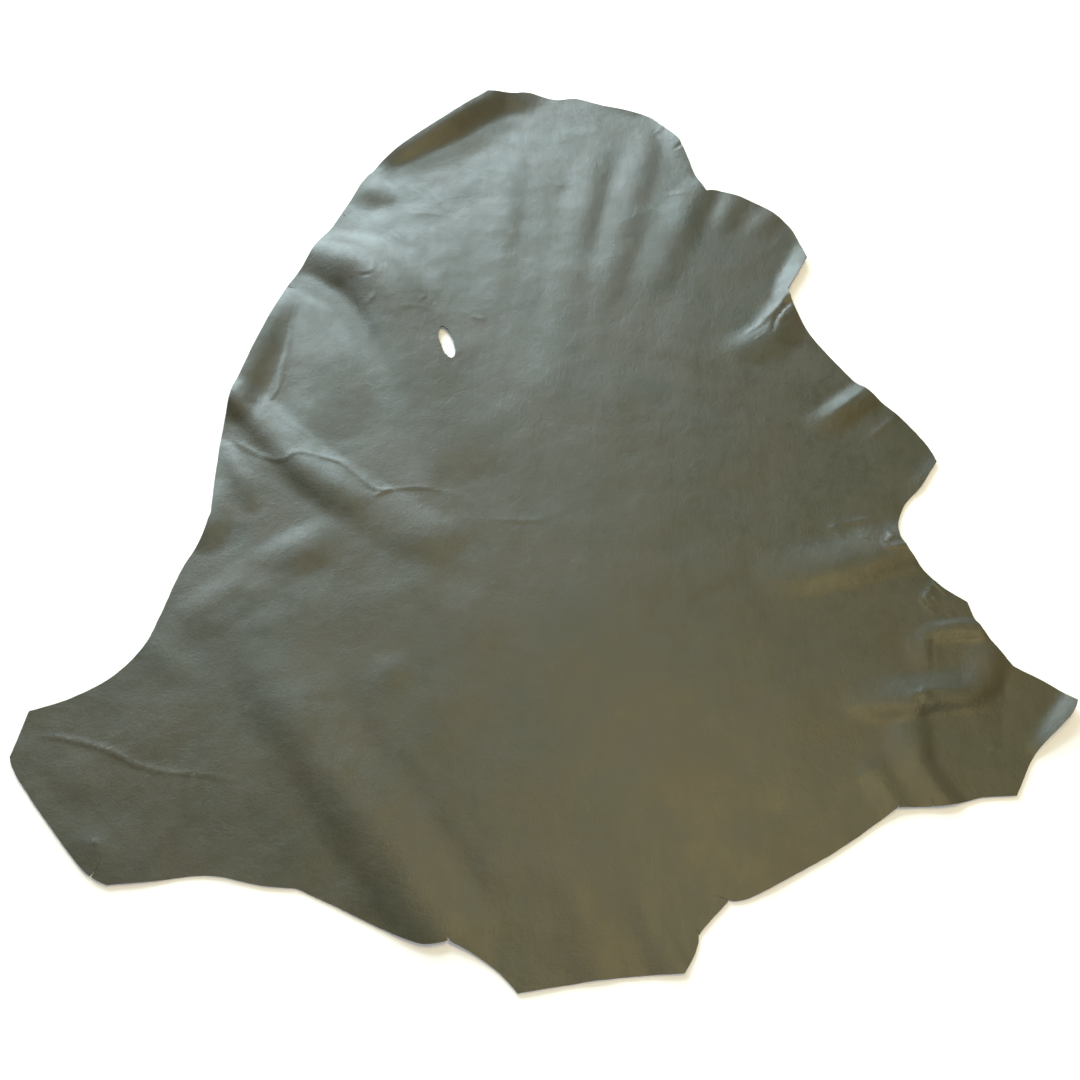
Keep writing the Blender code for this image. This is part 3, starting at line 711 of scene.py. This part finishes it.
def make_sheet():
    loops = edge_loops(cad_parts["hide"])
    outline = cut_nicks(roughen(smooth_ring(loops[0], EDGE_STEP), EDGE_RAGGED, seed=21.0))
    hole = roughen(smooth_ring(loops[1], HOLE_STEP), HOLE_RAGGED, seed=35.0)
    sheet = bpy.data.objects.new("leather_sheet", sheet_mesh(outline, hole))
    bpy.context.scene.collection.objects.link(sheet)
    for material in (grain_side(), flesh_side(), cut_edge()):
        sheet.data.materials.append(material)
    wall = sheet.modifiers.new("leather", "SOLIDIFY")
    wall.thickness = THICKNESS * MM
    wall.offset = -1.0
    wall.material_offset = 1
    wall.material_offset_rim = 2
    bpy.context.view_layer.update()
    apply_modifiers(sheet)
    sheet.data.shade_smooth()
    sheet.data.set_sharp_from_angle(angle=SHARP_ANGLE)
    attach(sheet, "root")
    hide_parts("hide")


# Materials

class Field:
    """A value or colour over a surface. Sums and products of fields add their Math nodes."""

    def __init__(self, tree, socket=None):
        self.tree = tree
        self.socket = socket

    def node(self, kind, settings, inputs, output=0):
        """Any node, from its type, its settings, and the values or links of its sockets."""
        made = self.tree.nodes.new(kind)
        for name, value in settings.items():
            setattr(made, name, value)
        for name, value in inputs.items():
            if isinstance(value, Field):
                self.tree.links.new(value.socket, made.inputs[name])
            else:
                made.inputs[name].default_value = value
        return Field(self.tree, made.outputs[output])

    def math(self, operation, *values):
        return self.node("ShaderNodeMath", {"operation": operation}, dict(enumerate(values)))

    def __add__(self, other):
        return self.math("ADD", self, other)

    def __sub__(self, other):
        return self.math("SUBTRACT", self, other)

    def __rsub__(self, other):
        return self.math("SUBTRACT", other, self)

    def __mul__(self, other):
        return self.math("MULTIPLY", self, other)

    __radd__ = __add__
    __rmul__ = __mul__

    def step(self, low, high):
        """0 below low, 1 above high, and eased between them."""
        return self.node("ShaderNodeMapRange", {"interpolation_type": "SMOOTHSTEP"},
                         {0: self, 1: low, 2: high, 3: 0.0, 4: 1.0})

    def blend(self, low, high):
        """Low where this field is 0, high where it is 1. Both are colours."""
        return self.node("ShaderNodeMix", {"data_type": "RGBA"}, {0: self, 6: low, 7: high}, output=2)

    def place(self):
        return self.node("ShaderNodeTexCoord", {}, {}, output="Object")

    def stretched(self, sizes, turn):
        """The place with each axis stretched by its size, and turned about Z."""
        return self.place().node("ShaderNodeMapping", {}, {
            "Vector": self.place(), "Rotation": (0, 0, radians(turn)), "Scale": sizes})

    def cloud(self, size, detail=3.0, rough=0.55, at=None, warp=0.0):
        """Soft cloudy noise from 0 to 1, with clouds of this size in millimetres."""
        return self.node("ShaderNodeTexNoise", {}, {
            "Vector": at or self.place(), "Scale": 1 / (size * MM), "Detail": detail,
            "Roughness": rough, "Distortion": warp})

    def cells(self, size):
        """Distance from the middle of uneven cells of this size in millimetres."""
        return self.node("ShaderNodeTexVoronoi", {}, {"Vector": self.place(), "Scale": 1 / (size * MM)})


def new_material(name, values):
    """A material with its constant values set on its shader's own sockets."""
    material = bpy.data.materials.new(name)
    material.use_nodes = True
    shader = material.node_tree.nodes["Principled BSDF"]
    for socket, value in values.items():
        shader.inputs[socket].default_value = value
    return material, shader, Field(material.node_tree)


def finish_with(material, shader, colour, roughness, relief, depth):
    """Link what changes over the surface: the colour, the roughness and the relief in millimetres."""
    links = material.node_tree.links
    links.new(colour.socket, shader.inputs["Base Color"])
    links.new(roughness.socket, shader.inputs["Roughness"])
    bump = relief.node("ShaderNodeBump", {}, {"Height": relief, "Distance": depth * MM})
    links.new(bump.socket, shader.inputs["Normal"])
    return material


def grain_side():
    """Olive finish over a fine natural grain, browner or greener by patches, with a few pale specks."""
    material, shader, field = new_material("olive grain", {
        "IOR": 1.5, "Specular IOR Level": 0.5, "Coat Weight": 0.10, "Coat Roughness": 0.28, "Coat IOR": 1.45})
    hue = field.cloud(95, detail=2.0, warp=0.3).step(0.36, 0.64)
    shade = field.cloud(210, detail=2.0).step(0.32, 0.68)
    mottle = field.cloud(11, detail=4.0, rough=0.62, warp=0.3).step(0.30, 0.70)
    blotch = field.cloud(38, detail=3.0, rough=0.6, warp=0.5).step(0.34, 0.66)
    fat = field.cloud(8, detail=2.0, at=field.stretched((1.0, 0.32, 1.0), turn=12)).step(0.42, 0.62)
    pebble = field.cells(2.3)
    pores = field.cells(0.95)
    colour = hue.blend(BROWN_OLIVE, GREEN_OLIVE)
    colour = (shade * 0.35).blend(colour, PALE_OLIVE)
    colour = (blotch * 0.30).blend(colour, WARM_OLIVE)
    colour = (mottle * 0.22).blend(colour, DUSTY_OLIVE)
    colour = ((1 - pores.step(0.05, 0.34)) * 0.35).blend(colour, PORE_BROWN)
    speck = 1 - field.cells(62).step(0.006, 0.010)
    colour = (speck * 0.9).blend(colour, SPECK_WHITE)
    roughness = 0.39 + 0.05 * mottle + 0.07 * blotch + 0.03 * shade - 0.03 * fat
    relief = pores.step(0.0, 0.55) * 0.4 + pebble * 0.9 + fat * 0.5 + mottle * 1.2
    return finish_with(material, shader, colour, roughness, relief, depth=0.08)


def flesh_side():
    """Napped underside, with short fibres that lie in swirls."""
    material, shader, field = new_material("flesh nap", {
        "Specular IOR Level": 0.2, "Sheen Weight": 0.25, "Sheen Roughness": 0.6})
    swirl = field.cloud(1.6, detail=5.0, rough=0.7, warp=1.6)
    tone = field.cloud(70, detail=4.0)
    colour = tone.blend(FLESH_DARK, FLESH_LIGHT)
    colour = (swirl.step(0.35, 0.7) * 0.5).blend(colour, FLESH_FIBRE)
    roughness = 0.82 + 0.12 * swirl
    return finish_with(material, shader, colour, roughness, swirl, depth=0.5)


def cut_edge():
    """Raw edge, where the dye fades into pale fibre."""
    material, shader, field = new_material("cut edge", {"Specular IOR Level": 0.25})
    fibre = field.cloud(0.7, detail=4.0, rough=0.7)
    colour = fibre.step(0.3, 0.7).blend(EDGE_DYED, EDGE_RAW)
    roughness = 0.75 + 0.15 * fibre
    return finish_with(material, shader, colour, roughness, fibre, depth=0.25)


# Floor, light and camera

def make_floor():
    half = FLOOR_HALF
    corners = [(-half, -half, 0), (half, -half, 0), (half, half, 0), (-half, half, 0)]
    mesh = bpy.data.meshes.new("floor")
    mesh.from_pydata(corners, [], [(0, 1, 2, 3)])
    floor = bpy.data.objects.new("floor", mesh)
    bpy.context.scene.collection.objects.link(floor)
    floor.location.z = -FLOOR_DROP
    material, _, _ = new_material("floor paint", {
        "Base Color": FLOOR_PAINT, "Roughness": 1.0, "Specular IOR Level": 0.0})
    mesh.materials.append(material)
    floor.visible_glossy = False


def make_softbox(name, box):
    """A large soft light that faces its target."""
    light = bpy.data.lights.new(name, "AREA")
    light.shape = "RECTANGLE"
    light.size, light.size_y = box.size
    light.energy = box.power
    light.color = box.colour
    lamp = bpy.data.objects.new(name, light)
    lamp.location = box.place
    lamp.rotation_euler = (Vector(box.target) - Vector(box.place)).to_track_quat("-Z", "Y").to_euler()
    bpy.context.scene.collection.objects.link(lamp)


def make_lights():
    world = bpy.data.worlds.new("studio")
    world.use_nodes = True
    background = world.node_tree.nodes["Background"]
    background.inputs["Color"].default_value = ROOM_LIGHT
    background.inputs["Strength"].default_value = ROOM_STRENGTH
    bpy.context.scene.world = world
    for name, box in SOFTBOXES.items():
        make_softbox(name, box)


def make_camera():
    lens = bpy.data.cameras.new("camera")
    lens.sensor_width = 36
    lens.angle = radians(CAMERA_VIEW)
    camera = bpy.data.objects.new("camera", lens)
    across, along, height = CAMERA_PLACE
    camera.location = (*(from_table(across, along) * MM), height * MM)
    camera.rotation_euler = (radians(CAMERA_TILT), 0, 0)
    bpy.context.scene.collection.objects.link(camera)
    bpy.context.scene.camera = camera


make_camera()
make_lights()
make_floor()
make_sheet()
bpy.context.scene.view_settings.view_transform = "Standard"
